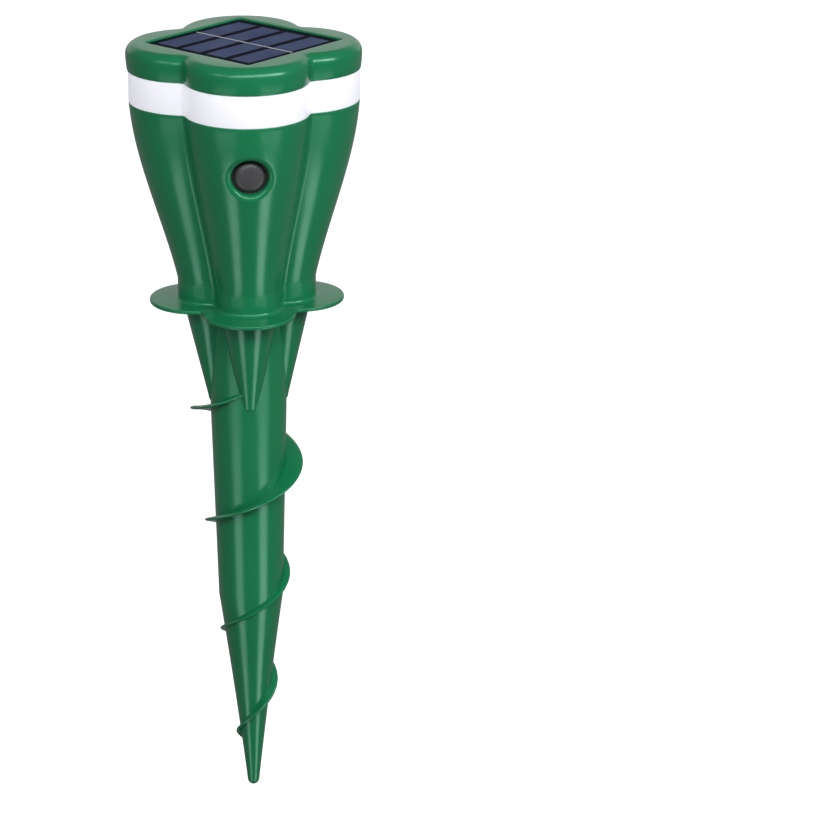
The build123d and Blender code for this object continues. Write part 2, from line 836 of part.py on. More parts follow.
with BuildPart() as switch_body:
    with BuildSketch(Plane.XZ.offset(post_end)):
        with Locations((0, button_height)):
            Rectangle(switch_side, switch_side)
    extrude(amount=switch_depth)
    with BuildSketch(Plane.XZ.offset(switch_front)):
        with Locations((0, button_height)):
            Circle(plunger_radius + slide_gap)
    extrude(amount=-(plunger_reach + button_travel + plunger_play), mode=Mode.SUBTRACT)
switch_body.part.label = "switch_body"
export_step(switch_body.part, "parts/switch_body.step")

with BuildPart() as switch_plunger:
    with BuildSketch(Plane.XZ.offset(switch_front - plunger_reach)):
        with Locations((0, button_height)):
            Circle(plunger_radius)
    extrude(amount=plunger_reach + plunger_rise)
switch_plunger.part.label = "switch_plunger"
export_step(switch_plunger.part, "parts/switch_plunger.step")

# Leads: a positive and a negative wire from each device to the main board

socket_face = board_underside - socket_height
switch_back = switch_board_thickness - post_end
lead_routes = {
    "panel": [
        (0, 0, recess_floor + pad_thickness),
        (0, 0, roof_underside - 1.5),
        (0, 2, board_top + 4),
        (0, 2, board_top),
    ],
    "battery": [
        (0, battery_place, holder_top),
        (0, battery_place, holder_top + 5),
        (0, socket_pitch, socket_face - 6),
        (0, socket_pitch, socket_face),
    ],
    "sounder": [
        (0, -sounder_place, floor_top + sounder_height),
        (0, -sounder_place, floor_top + sounder_height + 10),
        (0, -2, button_height),
        (0, 0, socket_face - 12),
        (0, 0, socket_face),
    ],
    "switch": [
        (0, switch_back, button_height),
        (0, switch_back + 9, button_height),
        (0, -socket_pitch - 2, button_height + 11),
        (0, -socket_pitch, socket_face - 8),
        (0, -socket_pitch, socket_face),
    ],
}
lead_bends = {"panel": [4, 4], "battery": [8, 8], "sounder": [14, 20, 20], "switch": [7, 7, 14]}

for polarity, side in {"positive": 1, "negative": -1}.items():
    for device, route in lead_routes.items():
        shift = side * lead_spacing / 2
        points = [(x + shift, y, z) for x, y, z in route]
        with BuildPart() as piece:
            add(lead(points, lead_bends[device]))
        piece.part.label = f"{device}_lead_{polarity}"
        export_step(piece.part, f"parts/{piece.part.label}.step")
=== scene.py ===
import json
import math

import bmesh
import bpy
from mathutils import Matrix, Vector


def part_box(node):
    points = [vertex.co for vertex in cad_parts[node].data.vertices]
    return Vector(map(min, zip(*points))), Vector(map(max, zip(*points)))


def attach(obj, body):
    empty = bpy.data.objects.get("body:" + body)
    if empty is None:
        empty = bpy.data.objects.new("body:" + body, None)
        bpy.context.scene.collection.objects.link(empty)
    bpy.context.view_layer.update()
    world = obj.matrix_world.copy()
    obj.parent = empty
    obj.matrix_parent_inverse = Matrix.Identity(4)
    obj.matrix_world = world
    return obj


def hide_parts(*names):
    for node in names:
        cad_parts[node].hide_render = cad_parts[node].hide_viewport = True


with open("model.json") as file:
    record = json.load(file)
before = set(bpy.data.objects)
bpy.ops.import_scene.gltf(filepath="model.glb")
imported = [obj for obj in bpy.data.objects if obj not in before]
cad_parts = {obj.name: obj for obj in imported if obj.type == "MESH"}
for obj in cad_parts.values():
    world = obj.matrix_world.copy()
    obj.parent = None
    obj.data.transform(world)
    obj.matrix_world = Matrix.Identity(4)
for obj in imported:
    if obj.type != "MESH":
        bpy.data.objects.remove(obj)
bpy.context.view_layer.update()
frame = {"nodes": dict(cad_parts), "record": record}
nodes = frame["nodes"]


# small tools shared by the pieces
def toolNode(tree, kind, **settings):
    made = tree.nodes.new(kind)
    for name, value in settings.items():
        setattr(made, name, value)
    return made


def placeObject(name, mesh):
    made = bpy.data.objects.new(name, mesh)
    bpy.context.scene.collection.objects.link(made)
    return made


def meshObject(name, points, faces, sharpAngle=32):
    mesh = bpy.data.meshes.new(name)
    mesh.from_pydata([tuple(p) for p in points], [], faces)
    work = bmesh.new()
    work.from_mesh(mesh)
    bmesh.ops.remove_doubles(work, verts=work.verts, dist=1e-6)
    bmesh.ops.dissolve_degenerate(work, edges=work.edges, dist=1e-7)
    bmesh.ops.recalc_face_normals(work, faces=work.faces)
    work.to_mesh(mesh)
    work.free()
    made = placeObject(name, mesh)
    softShade(made, sharpAngle)
    return made


def softShade(piece, sharpAngle=32):
    mesh = piece.data
    mesh.polygons.foreach_set("use_smooth", [True] * len(mesh.polygons))
    mesh.set_sharp_from_angle(angle=math.radians(sharpAngle))
    mesh.update()


def loftRings(name, rings, closed=False, sharpAngle=32):
    # rings of equal count, joined in order; the ends are capped unless the row closes on itself
    points = [point for ring in rings for point in ring]
    count = len(rings[0])
    faces = []
    steps = len(rings) if closed else len(rings) - 1
    for row in range(steps):
        low = row * count
        high = (row + 1) % len(rings) * count
        for column in range(count):
            after = (column + 1) % count
            faces.append((low + column, low + after, high + after, high + column))
    if not closed:
        faces.append(tuple(reversed(range(count))))
        faces.append(tuple(range(len(points) - count, len(points))))
    return meshObject(name, points, faces, sharpAngle)


def cutOrJoin(target, tool, operation):
    step = target.modifiers.new(operation.lower(), "BOOLEAN")
    step.operation = operation
    step.solver = "EXACT"
    step.object = tool
    bpy.context.view_layer.update()
    deps = bpy.context.evaluated_depsgraph_get()
    result = bpy.data.meshes.new_from_object(target.evaluated_get(deps))
    target.modifiers.remove(step)
    old = target.data
    target.data = result
    bpy.data.meshes.remove(old)
    bpy.data.objects.remove(tool)


def finishBoolean(target, sharpAngle=32):
    work = bmesh.new()
    work.from_mesh(target.data)
    bmesh.ops.remove_doubles(work, verts=work.verts, dist=2e-6)
    bmesh.ops.dissolve_degenerate(work, edges=work.edges, dist=1e-6)
    work.to_mesh(target.data)
    work.free()
    softShade(target, sharpAngle)


def spinProfile(name, profile, origin, axis, steps=96, sharpAngle=32):
    # profile: (radius, distance along the axis) pairs; a radius of 0 closes the pole
    axis = Vector(axis).normalized()
    side = axis.orthogonal().normalized()
    over = axis.cross(side)
    rings = []
    for radius, along in profile:
        centre = Vector(origin) + axis * along
        ring = []
        for step in range(steps):
            turn = 2 * math.pi * step / steps
            ring.append(centre + (side * math.cos(turn) + over * math.sin(turn)) * radius)
        rings.append(ring)
    return loftRings(name, rings, closed=False, sharpAngle=sharpAngle)


# the four-lobed outline that every shell of the head follows
headSizes = {  # metres
    "neckSpread": 0.54,
    "flangeSpread": 0.531,
    "headSpread": 0.46,
    "valleyRadius": 0.003,
    "neckLean": 0.9,
    "bandLean": 0.25,
    "wall": 0.0024,
    "socketGap": 0.0003,
    "neckHeight": 0.0102,
    "neckFillet": 0.0018,
    "flangeThickness": 0.0018,
    "flangeRounding": 0.0006,
    "flangeReach": 0.0465,
    "floor": 0.002,
    "lip": 0.0025,
    "lipGap": 0.00015,
    "lipThickness": 0.00125,
    "lidRounding": 0.0050,
    "lidDraft": 0.0005,
    "lidRoof": 0.005,
    "seal": 0.001,
    "ledge": 0.002,
    "edge": 0.0004,
}
lobeSteps = 44
valleySteps = 14

stakeLow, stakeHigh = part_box("stake")
housingLow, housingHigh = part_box("housing")
bandLow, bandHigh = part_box("light_band")
lidLow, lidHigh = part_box("lid")
sealLow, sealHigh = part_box("socket_seal")
boardLow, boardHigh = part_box("panel_board")
cellLow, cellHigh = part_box("solar_cells")
coatLow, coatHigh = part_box("panel_coat")
guideLow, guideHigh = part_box("button_guide")
buttonLow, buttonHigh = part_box("button")

bandReach = bandHigh.x
lidReach = lidHigh.x
headSizes["neckReach"] = sealHigh.x + headSizes["wall"] + headSizes["socketGap"]
flangeBottom = housingLow.z
flangeTop = flangeBottom + headSizes["flangeThickness"]
neckTop = flangeTop + headSizes["neckHeight"]
bodyTop = bandLow.z + headSizes["lip"]
bandTop = bandHigh.z - headSizes["lip"]
lidTop = lidHigh.z
buttonHeight = (buttonLow.z + buttonHigh.z) / 2


def cloverRing(reach, spread, height, inset=0.0):
    centre = reach * spread
    lobe = reach - centre - inset
    hollow = headSizes["valleyRadius"] + inset
    away = centre / math.sqrt(2) + math.sqrt((lobe + hollow) ** 2 - centre ** 2 / 2)
    hollowX = hollowY = away / math.sqrt(2)
    share = lobe / (lobe + hollow)
    meetX = centre + (hollowX - centre) * share
    meetY = hollowY * share
    lobeTurn = math.atan2(meetY, meetX - centre)
    valleyStart = math.atan2(meetY - hollowY, meetX - hollowX)
    valleySweep = 2 * (valleyStart + math.radians(135))
    ring = []
    for quarter in range(4):
        for step in range(lobeSteps):
            angle = lobeTurn * (2 * step / lobeSteps - 1)
            spot = Vector((centre + lobe * math.cos(angle), lobe * math.sin(angle), height))
            ring.append(quarterTurned(spot, quarter))
        for step in range(valleySteps):
            angle = valleyStart - valleySweep * step / valleySteps
            spot = Vector((hollowX + hollow * math.cos(angle), hollowY + hollow * math.sin(angle), height))
            ring.append(quarterTurned(spot, quarter))
    return ring


def quarterTurned(spot, quarter):
    return Matrix.Rotation(math.radians(90 * quarter), 3, "Z") @ spot


def bodyShape(share):
    # reach and spread of the body, 0 at the neck and 1 at the light band
    rise = share ** 2 * (3 - 2 * share)
    rise += headSizes["neckLean"] * share * (1 - share) ** 2
    rise -= headSizes["bandLean"] * share ** 2 * (1 - share)
    reach = headSizes["neckReach"] + (bandReach - headSizes["neckReach"]) * rise
    spread = headSizes["neckSpread"] + (headSizes["headSpread"] - headSizes["neckSpread"]) * share
    return reach, spread


def bodyRing(share, inset=0.0):
    reach, spread = bodyShape(share)
    return cloverRing(reach, spread, neckTop + share * (bodyTop - neckTop), inset)


def frontWall(x, z, inset):
    # where the front lobe's wall stands, a little under its outer face
    reach, spread = bodyShape((z - neckTop) / (bodyTop - neckTop))
    centre = reach * spread
    return -(centre + math.sqrt((reach - centre - inset) ** 2 - x ** 2))


# housing: flange, neck and swelling body, one moulding
def buildHousing():
    wall = headSizes["wall"]
    neck = (headSizes["neckReach"], headSizes["neckSpread"])
    flange = (headSizes["flangeReach"], headSizes["flangeSpread"])
    rounding = headSizes["flangeRounding"]
    fillet = headSizes["neckFillet"]
    edge = headSizes["edge"]
    socketRoof = sealHigh.z
    floorTop = socketRoof + headSizes["floor"]
    rings = [
        cloverRing(*neck, socketRoof, wall),
        cloverRing(*neck, flangeBottom + edge, wall),
        cloverRing(*neck, flangeBottom, wall - edge),
        cloverRing(*flange, flangeBottom, rounding),
    ]
    for step in range(1, 13):  # the rounded rim of the flange
        turn = math.pi * step / 12
        height = (flangeBottom + flangeTop) / 2 - (flangeTop - flangeBottom) / 2 * math.cos(turn)
        rings.append(cloverRing(*flange, height, rounding * (1 - math.sin(turn) ** 0.6)))
    for step in range(0, 9):  # the fillet from the flange up into the neck
        turn = math.radians(90) * step / 8
        inset = -fillet * (1 - math.sin(turn))
        rings.append(cloverRing(*neck, flangeTop + fillet * (1 - math.cos(turn)), inset))
    straight = neckTop - flangeTop - fillet
    for step in range(1, 5):
        rings.append(cloverRing(*neck, flangeTop + fillet + straight * step / 5))
    outerSteps = 54
    for step in range(outerSteps):
        rings.append(bodyRing(step / outerSteps))
    rings.append(cloverRing(bandReach, headSizes["headSpread"], bodyTop - edge))
    rings.append(cloverRing(bandReach, headSizes["headSpread"], bodyTop - edge * 0.3, edge * 0.3))
    rings.append(cloverRing(bandReach, headSizes["headSpread"], bodyTop, edge))
    rings.append(cloverRing(bandReach, headSizes["headSpread"], bodyTop, wall))
    rings.append(cloverRing(bandReach, headSizes["headSpread"], bandLow.z - headSizes["seal"], wall))
    floorShare = (floorTop - neckTop) / (bodyTop - neckTop)
    wallShare = (bandLow.z - 2 * headSizes["seal"] - neckTop) / (bodyTop - neckTop)
    innerSteps = 16
    for step in range(innerSteps + 1):
        rings.append(bodyRing(wallShare + (floorShare - wallShare) * step / innerSteps, wall))
    return loftRings("housingShell", rings)


buttonSizes = {  # metres, measured from the stake's axis towards the front
    "collarRadius": 0.014,
    "collarDepth": 0.004,
    "pocketRadius": 0.010,
    "pocketDepth": 0.0045,
    "eyeRadius": 0.0084,
    "mouthRounding": 0.0040,
    "mouthLift": 0.00012,
    "mouthSpare": 0.0004,
    "cutFront": -0.058,
    "domeRadius": 0.0070,
    "domeHeight": 0.0022,
    "domeSquareness": 0.55,  # 1 is round, less is squarer at the rim
    "stemRadius": 0.0025,
    "flangeRadius": 0.0083,
    "flangeThickness": 0.0014,
    "guideWall": 0.0015,
    "slideGap": 0.00005,
}


def buildCollar():
    steps = 96
    back = -guideLow.y - buttonSizes["collarDepth"]
    rings = []
    for share in (14, 11, 8, 5, 2):
        radius = buttonSizes["collarRadius"] * share / 14
        ring = []
        for step in range(steps):
            turn = 2 * math.pi * step / steps
            x = radius * math.cos(turn)
            z = buttonHeight + radius * math.sin(turn)
            ring.append(Vector((x, frontWall(x, z, headSizes["wall"] / 2), z)))
        rings.append(ring)
    behind = [Vector((point.x, -back, point.z)) for point in rings[0]]
    return loftRings("collar", [behind] + rings)


def buildEye():
    # the straight hole with a mouth that rolls over into the lobe's face
    steps = 128
    inner = buttonSizes["eyeRadius"]
    rounding = buttonSizes["mouthRounding"]
    outer = inner + rounding
    pocketFront = guideLow.y
    pocketBack = pocketFront + buttonSizes["pocketDepth"]

    def ringOf(place):
        ring = []
        for step in range(steps):
            turn = 2 * math.pi * step / steps
            radius, y = place(math.cos(turn), math.sin(turn))
            ring.append(Vector((radius * math.cos(turn), y, buttonHeight + radius * math.sin(turn))))
        return ring

    def faceAt(radius, across, up):
        return frontWall(radius * across, buttonHeight + radius * up, 0)

    def mouth(share):
        def place(across, up):
            rim = Vector((outer, faceAt(outer, across, up) - buttonSizes["mouthLift"]))
            corner = Vector((inner, faceAt(inner, across, up)))
            throat = corner + Vector((0, rounding))
            spot = rim * (1 - share) ** 2 + corner * 2 * share * (1 - share) + throat * share ** 2
            return spot.x, spot.y
        return ringOf(place)

    pocket = buttonSizes["pocketRadius"]
    rings = [
        ringOf(lambda across, up: (pocket, pocketBack)),
        ringOf(lambda across, up: (pocket, pocketFront)),
        ringOf(lambda across, up: (inner, pocketFront)),
    ]
    rings += [mouth(1 - step / 14) for step in range(15)]
    rings.append(ringOf(lambda across, up: (outer + buttonSizes["mouthSpare"], buttonSizes["cutFront"])))
    return loftRings("eye", rings)


def openButtonEye(housing):
    cutOrJoin(housing, buildCollar(), "UNION")
    cutOrJoin(housing, buildEye(), "DIFFERENCE")
    finishBoolean(housing)


housingShell = buildHousing()
openButtonEye(housingShell)
print("housing shell:", len(housingShell.data.polygons), "faces")


# light band and lid
def buildLightBand():
    spread = headSizes["headSpread"]
    edge = headSizes["edge"]
    lipOut = headSizes["wall"] + headSizes["lipGap"]
    lipIn = lipOut + headSizes["lipThickness"]
    rings = [
        cloverRing(bandReach, spread, bandLow.z, lipIn),
        cloverRing(bandReach, spread, bandLow.z, lipOut),
        cloverRing(bandReach, spread, bodyTop, lipOut),
        cloverRing(bandReach, spread, bodyTop, edge),
        cloverRing(bandReach, spread, bodyTop + edge * 0.3, edge * 0.3),
        cloverRing(bandReach, spread, bodyTop + edge),
        cloverRing(bandReach, spread, bandTop - edge),
        cloverRing(bandReach, spread, bandTop - edge * 0.3, edge * 0.3),
        cloverRing(bandReach, spread, bandTop, edge),
        cloverRing(bandReach, spread, bandTop, lipOut),
        cloverRing(bandReach, spread, bandHigh.z, lipOut),
        cloverRing(bandReach, spread, bandHigh.z, lipIn),
    ]
    return loftRings("lightBandRing", rings, closed=True)


panelSizes = {  # metres
    "side": 0.0644,
    "gap": 0.0003,
    "corner": 0.001,
    "recess": 0.0032,
    "lipRounding": 0.0007,
    "cellLength": 0.0268,
    "cellWidth": 0.0114,
    "cellPitch": 0.0152,
    "cellSplit": 0.0018,
    "ribbonWidth": 0.0009,
    "ribbonLength": 0.060,
    "proud": 0.00003,
    "edge": 0.0001,
    "ribbonEdge": 0.00005,
    "cutSpare": 0.002,
}


def roundedSquare(side, corner, height):
    # a square with its corners along the lobes
    ring = []
    for quarter in range(4):
        for step in range(7):
            turn = math.radians(-45 + 90 * step / 6)
            reach = side / math.sqrt(2) - corner * math.sqrt(2)
            spot = Vector((reach + corner * math.cos(turn), corner * math.sin(turn), height))
            ring.append(quarterTurned(spot, quarter))
    return ring


def buildLid():
    spread = headSizes["headSpread"]
    rounding = headSizes["lidRounding"]
    edge = headSizes["edge"]
    wall = headSizes["wall"]
    ledge = bandHigh.z + headSizes["seal"]
    roof = lidTop - headSizes["lidRoof"]
    rings = [
        cloverRing(bandReach, spread, roof, wall + headSizes["ledge"]),
        cloverRing(bandReach, spread, ledge, wall + headSizes["ledge"]),
        cloverRing(bandReach, spread, ledge, wall),
        cloverRing(bandReach, spread, bandTop, wall),
        cloverRing(lidReach, spread, bandTop, edge + headSizes["lidDraft"]),
        cloverRing(lidReach, spread, bandTop + edge * 0.3, edge * 0.3 + headSizes["lidDraft"]),
    ]
    for step in range(8):  # the skirt leans in towards its lower edge
        share = step / 8
        height = bandTop + edge + (lidTop - rounding - bandTop - edge) * share
        rings.append(cloverRing(lidReach, spread, height, headSizes["lidDraft"] * (1 - share) ** 2))
    for step in range(13):  # the rounded shoulder
        turn = math.radians(90) * step / 12
        inset = rounding * (1 - math.cos(turn))
        rings.append(cloverRing(lidReach, spread, lidTop - rounding * (1 - math.sin(turn)), inset))
    lid = loftRings("lidShell", rings)
    side = panelSizes["side"] + 2 * panelSizes["gap"]
    floor = lidTop - panelSizes["recess"]
    recess = [
        roundedSquare(side, panelSizes["corner"], floor),
        roundedSquare(side, panelSizes["corner"], lidTop - panelSizes["lipRounding"]),
    ]
    for step in range(1, 7):
        turn = math.radians(90) * step / 6
        wider = 2 * panelSizes["lipRounding"] * (1 - math.cos(turn))
        height = lidTop - panelSizes["lipRounding"] * (1 - math.sin(turn))
        recess.append(roundedSquare(side + wider, panelSizes["corner"], height))
    recess.append(roundedSquare(side + wider, panelSizes["corner"], lidTop + panelSizes["cutSpare"]))
    cutOrJoin(lid, loftRings("recess", recess), "DIFFERENCE")
    finishBoolean(lid)
    return lid


lightBandRing = buildLightBand()
lidShell = buildLid()
print("light band and lid:", len(lidShell.data.polygons), "faces")


# node trees for what repeats or follows a rule
def newTree(name, sockets):
    tree = bpy.data.node_groups.new(name, "GeometryNodeTree")
    tree.interface.new_socket("Geometry", in_out="OUTPUT", socket_type="NodeSocketGeometry")
    for label, kind in sockets:
        tree.interface.new_socket(label, in_out="INPUT", socket_type="NodeSocket" + kind)
    return tree, tree.nodes.new("NodeGroupInput"), tree.nodes.new("NodeGroupOutput")


def runTree(name, tree, values):
    holder = placeObject(name, bpy.data.meshes.new(name))
    step = holder.modifiers.new(name, "NODES")
    step.node_group = tree
    sockets = {item.name: item.identifier for item in tree.interface.items_tree if item.in_out == "INPUT"}
    for label, value in values.items():
        step[sockets[label]] = value
    bpy.context.view_layer.update()
    deps = bpy.context.evaluated_depsgraph_get()
    mesh = bpy.data.meshes.new_from_object(holder.evaluated_get(deps))
    holder.modifiers.remove(step)
    empty = holder.data
    holder.data = mesh
    mesh.name = name
    bpy.data.meshes.remove(empty)
    return holder


def link(tree, source, target):
    if isinstance(source, (int, float)):
        target.default_value = source
    else:
        tree.links.new(source, target)


def sums(tree, operation, first, second=None, third=None):
    node = tree.nodes.new("ShaderNodeMath")
    node.operation = operation
    for value, target in zip((first, second, third), node.inputs):
        if value is not None:
            link(tree, value, target)
    return node.outputs[0]


bladeSizes = {  # metres; the rim runs down a cone and fades out at both ends
    "Pitch": 0.059,
    "Zero Height": 0.1765,
    "Low End": 0.019,
    "High End": 0.224,
    "Low Radius": 0.003,
    "Low Slope": 0.5077,
    "Widest Height": 0.206,
    "Widest Radius": 0.0293,
    "Cone Slope": 0.1132,
    "Start Slope": 0.7444,
    "Root Radius": 0.002,
    "Root Thickness": 0.0030,
    "Rim Thickness": 0.0018,
    "Side Step": 0.0003,
}


def bladeTree():
    sockets = [(label, "Float") for label in bladeSizes] + [("Material", "Material")]
    tree, given, result = newTree("screwBlade", sockets)
    grid = toolNode(tree, "GeometryNodeMeshGrid")
    grid.inputs["Size X"].default_value = 1
    grid.inputs["Size Y"].default_value = 1
    grid.inputs["Vertices X"].default_value = 620
    grid.inputs["Vertices Y"].default_value = 33
    place = toolNode(tree, "GeometryNodeInputPosition")
    split = toolNode(tree, "ShaderNodeSeparateXYZ")
    tree.links.new(place.outputs[0], split.inputs[0])
    along = sums(tree, "ADD", split.outputs["X"], 0.5)
    around = sums(tree, "ADD", split.outputs["Y"], 0.5)
    climb = sums(tree, "SUBTRACT", given.outputs["High End"], given.outputs["Low End"])
    height = sums(tree, "MULTIPLY_ADD", along, climb, given.outputs["Low End"])
    above = sums(tree, "SUBTRACT", height, given.outputs["Zero Height"])
    turns = sums(tree, "DIVIDE", above, given.outputs["Pitch"])
    angle = sums(tree, "MULTIPLY", turns, 2 * math.pi)
    drop = sums(tree, "SUBTRACT", given.outputs["Widest Height"], height)
    coned = sums(tree, "MULTIPLY", drop, given.outputs["Cone Slope"])
    coned = sums(tree, "SUBTRACT", given.outputs["Widest Radius"], coned)
    started = sums(tree, "MULTIPLY_ADD", drop, given.outputs["Start Slope"], given.outputs["Widest Radius"])
    lowEnd = sums(tree, "SUBTRACT", height, given.outputs["Low End"])
    ended = sums(tree, "MULTIPLY_ADD", lowEnd, given.outputs["Low Slope"], given.outputs["Low Radius"])
    rim = sums(tree, "SMOOTH_MIN", sums(tree, "SMOOTH_MIN", coned, started, 0.004), ended, 0.002)
    ends = sums(tree, "MINIMUM", along, sums(tree, "SUBTRACT", 1.0, along))
    ends = sums(tree, "MINIMUM", sums(tree, "MULTIPLY", ends, 10000.0), 1.0)
    circle = sums(tree, "MULTIPLY", around, 2 * math.pi)
    outward = sums(tree, "MULTIPLY_ADD", sums(tree, "COSINE", circle), -0.5, 0.5)
    width = sums(tree, "MULTIPLY", sums(tree, "SUBTRACT", rim, given.outputs["Root Radius"]), ends)
    radius = sums(tree, "MULTIPLY_ADD", outward, width, given.outputs["Root Radius"])
    thinner = sums(tree, "SUBTRACT", given.outputs["Rim Thickness"], given.outputs["Root Thickness"])
    thick = sums(tree, "MULTIPLY_ADD", outward, thinner, given.outputs["Root Thickness"])
    rounded = sums(tree, "SQRT", sums(tree, "SUBTRACT", 1.0, sums(tree, "POWER", outward, 26.0)))
    side = sums(tree, "MULTIPLY", sums(tree, "SINE", circle), 8.0)
    side = sums(tree, "MAXIMUM", sums(tree, "MINIMUM", side, 1.0), -1.0)
    lift = sums(tree, "MULTIPLY", sums(tree, "MULTIPLY", thick, rounded), side)
    lift = sums(tree, "MULTIPLY", sums(tree, "MULTIPLY", lift, 0.53), ends)
    spotX = sums(tree, "MULTIPLY_ADD", radius, sums(tree, "COSINE", angle), given.outputs["Side Step"])
    spotY = sums(tree, "MULTIPLY", radius, sums(tree, "SINE", angle))
    spotZ = sums(tree, "ADD", height, lift)
    spot = toolNode(tree, "ShaderNodeCombineXYZ")
    for value, target in zip((spotX, spotY, spotZ), spot.inputs):
        tree.links.new(value, target)
    move = toolNode(tree, "GeometryNodeSetPosition")
    tree.links.new(grid.outputs["Mesh"], move.inputs["Geometry"])
    tree.links.new(spot.outputs[0], move.inputs["Position"])
    weld = toolNode(tree, "GeometryNodeMergeByDistance")
    weld.inputs["Distance"].default_value = 2e-6
    tree.links.new(move.outputs[0], weld.inputs["Geometry"])
    real = toolNode(tree, "GeometryNodeRealizeInstances")
    tree.links.new(weld.outputs[0], real.inputs[0])
    paint = toolNode(tree, "GeometryNodeSetMaterial")
    tree.links.new(real.outputs[0], paint.inputs["Geometry"])
    tree.links.new(given.outputs["Material"], paint.inputs["Material"])
    tree.links.new(paint.outputs[0], result.inputs[0])
    return tree


# stake: tapered shaft, four ribs, the blade, and the spigot that plugs into the neck
stakeSizes = {  # metres: (radius, height) down the side
    "point": (0.0030, 0.0032),
    "belly": (0.0083, 0.0490),
    "shoulder": (0.0159, 0.1070),
    "head": (0.0184, 0.2050),
    "topRadius": 0.0192,
    "ribRadius": 0.014,
    "ribFootRadius": 0.0043,
    "ribFootCentre": 0.0151,
    "ribFootHeight": 0.2125,
    "coreRadius": 0.015,
    "coreFootRadius": 0.0122,
    "coreFootHeight": 0.118,
    "topGap": 0.0001,
    "spigotOverlap": 0.0004,
    "coreSpare": 0.002,
}


def arcThrough(start, middle, end, steps):
    (ax, ay), (bx, by), (cx, cy) = start, middle, end
    base = 2 * (ax * (by - cy) + bx * (cy - ay) + cx * (ay - by))
    a, b, c = ax * ax + ay * ay, bx * bx + by * by, cx * cx + cy * cy
    centreX = (a * (by - cy) + b * (cy - ay) + c * (ay - by)) / base
    centreY = (a * (cx - bx) + b * (ax - cx) + c * (bx - ax)) / base
    radius = math.hypot(ax - centreX, ay - centreY)
    first = math.atan2(ay - centreY, ax - centreX)
    last = math.atan2(cy - centreY, cx - centreX)
    turn = (last - first + math.pi) % (2 * math.pi) - math.pi
    points = []
    for step in range(steps + 1):
        angle = first + turn * step / steps
        points.append((centreX + radius * math.cos(angle), centreY + radius * math.sin(angle)))
    return points


def buildRibs():
    radiusTop = stakeSizes["ribRadius"]
    centreTop = sealHigh.x + headSizes["socketGap"] - radiusTop
    foot = stakeSizes["ribFootRadius"]
    rings = []
    for step in range(25):
        share = step / 24
        centre = centreTop + (stakeSizes["ribFootCentre"] - centreTop) * share
        radius = radiusTop + (foot - radiusTop) * share
        height = flangeBottom + (stakeSizes["ribFootHeight"] - flangeBottom) * share
        rings.append((centre, radius, height))
    for step in range(1, 9):
        turn = math.radians(90) * step / 8
        rings.append((
            stakeSizes["ribFootCentre"],
            foot * math.cos(turn),
            stakeSizes["ribFootHeight"] - foot * math.sin(turn),
        ))
    pieces = []
    for quarter in range(4):
        loops = []
        for centre, radius, height in rings:
            loop = []
            for step in range(64):
                turn = 2 * math.pi * step / 64
                spot = Vector((centre + radius * math.cos(turn), radius * math.sin(turn), height))
                loop.append(quarterTurned(spot, quarter))
            loops.append(loop)
        piece = loftRings("rib" + str(quarter), loops)
        cutOrJoin(piece, buildRibLimit(), "INTERSECT")
        pieces.append(piece)
    return pieces


def buildRibLimit():
    # the ribs stay inside the socket's outline, so the flange can lie flat on the ground
    inset = headSizes["wall"] + headSizes["socketGap"]
    neck = (headSizes["neckReach"], headSizes["neckSpread"])
    return loftRings("ribLimit", [
        cloverRing(*neck, stakeSizes["ribFootHeight"] - 0.01, inset),
        cloverRing(*neck, flangeBottom + 0.001, inset),
    ])


def buildStake():
    point = stakeSizes["point"]
    tip = [(0.0, 0.0)]
    for step in range(1, 9):
        turn = math.radians(90) * step / 8
        tip.append((point[0] * math.sin(turn), point[1] * (1 - math.cos(turn))))
    side = arcThrough(point, stakeSizes["belly"], stakeSizes["shoulder"], 40)[1:]
    straight = []
    for step in range(1, 25):
        share = step / 24
        straight.append((
            stakeSizes["shoulder"][0] + (stakeSizes["head"][0] - stakeSizes["shoulder"][0]) * share,
            stakeSizes["shoulder"][1] + (stakeSizes["head"][1] - stakeSizes["shoulder"][1]) * share,
        ))
    shaftTop = flangeBottom - stakeSizes["topGap"]
    top = [(stakeSizes["topRadius"], shaftTop), (0.0, shaftTop)]
    shaft = spinProfile("stakeScrew", tip + side + straight + top, (0, 0, 0), (0, 0, 1), 128)
    edge = headSizes["edge"]
    inset = headSizes["wall"] + headSizes["socketGap"]
    neck = (headSizes["neckReach"], headSizes["neckSpread"])
    spigot = loftRings("spigot", [
        cloverRing(*neck, flangeBottom - stakeSizes["spigotOverlap"], inset),
        cloverRing(*neck, stakeHigh.z - edge, inset),
        cloverRing(*neck, stakeHigh.z, inset + edge),
    ])
    for rib in buildRibs():
        cutOrJoin(shaft, rib, "UNION")
    cutOrJoin(shaft, spigot, "UNION")
    blade = runTree("blade", bladeTree(), {**bladeSizes, "Material": None})
    work = bmesh.new()
    work.from_mesh(blade.data)
    bmesh.ops.remove_doubles(work, verts=work.verts, dist=2e-6)
    bmesh.ops.dissolve_degenerate(work, edges=work.edges, dist=1e-7)
    bmesh.ops.recalc_face_normals(work, faces=work.faces)
    work.to_mesh(blade.data)
    work.free()
    cutOrJoin(shaft, blade, "UNION")
    core = [
        (0, stakeSizes["coreFootHeight"]),
        (stakeSizes["coreFootRadius"], stakeSizes["coreFootHeight"]),
        (stakeSizes["coreRadius"], stakeHigh.z),
        (stakeSizes["coreRadius"], stakeHigh.z + stakeSizes["coreSpare"]),
        (0, stakeHigh.z + stakeSizes["coreSpare"]),
    ]
    cutOrJoin(shaft, spinProfile("core", core, (0, 0, 0), (0, 0, 1), 96), "DIFFERENCE")
    finishBoolean(shaft)
    return shaft


stakeScrew = buildStake()
print("stake:", len(stakeScrew.data.polygons), "faces")


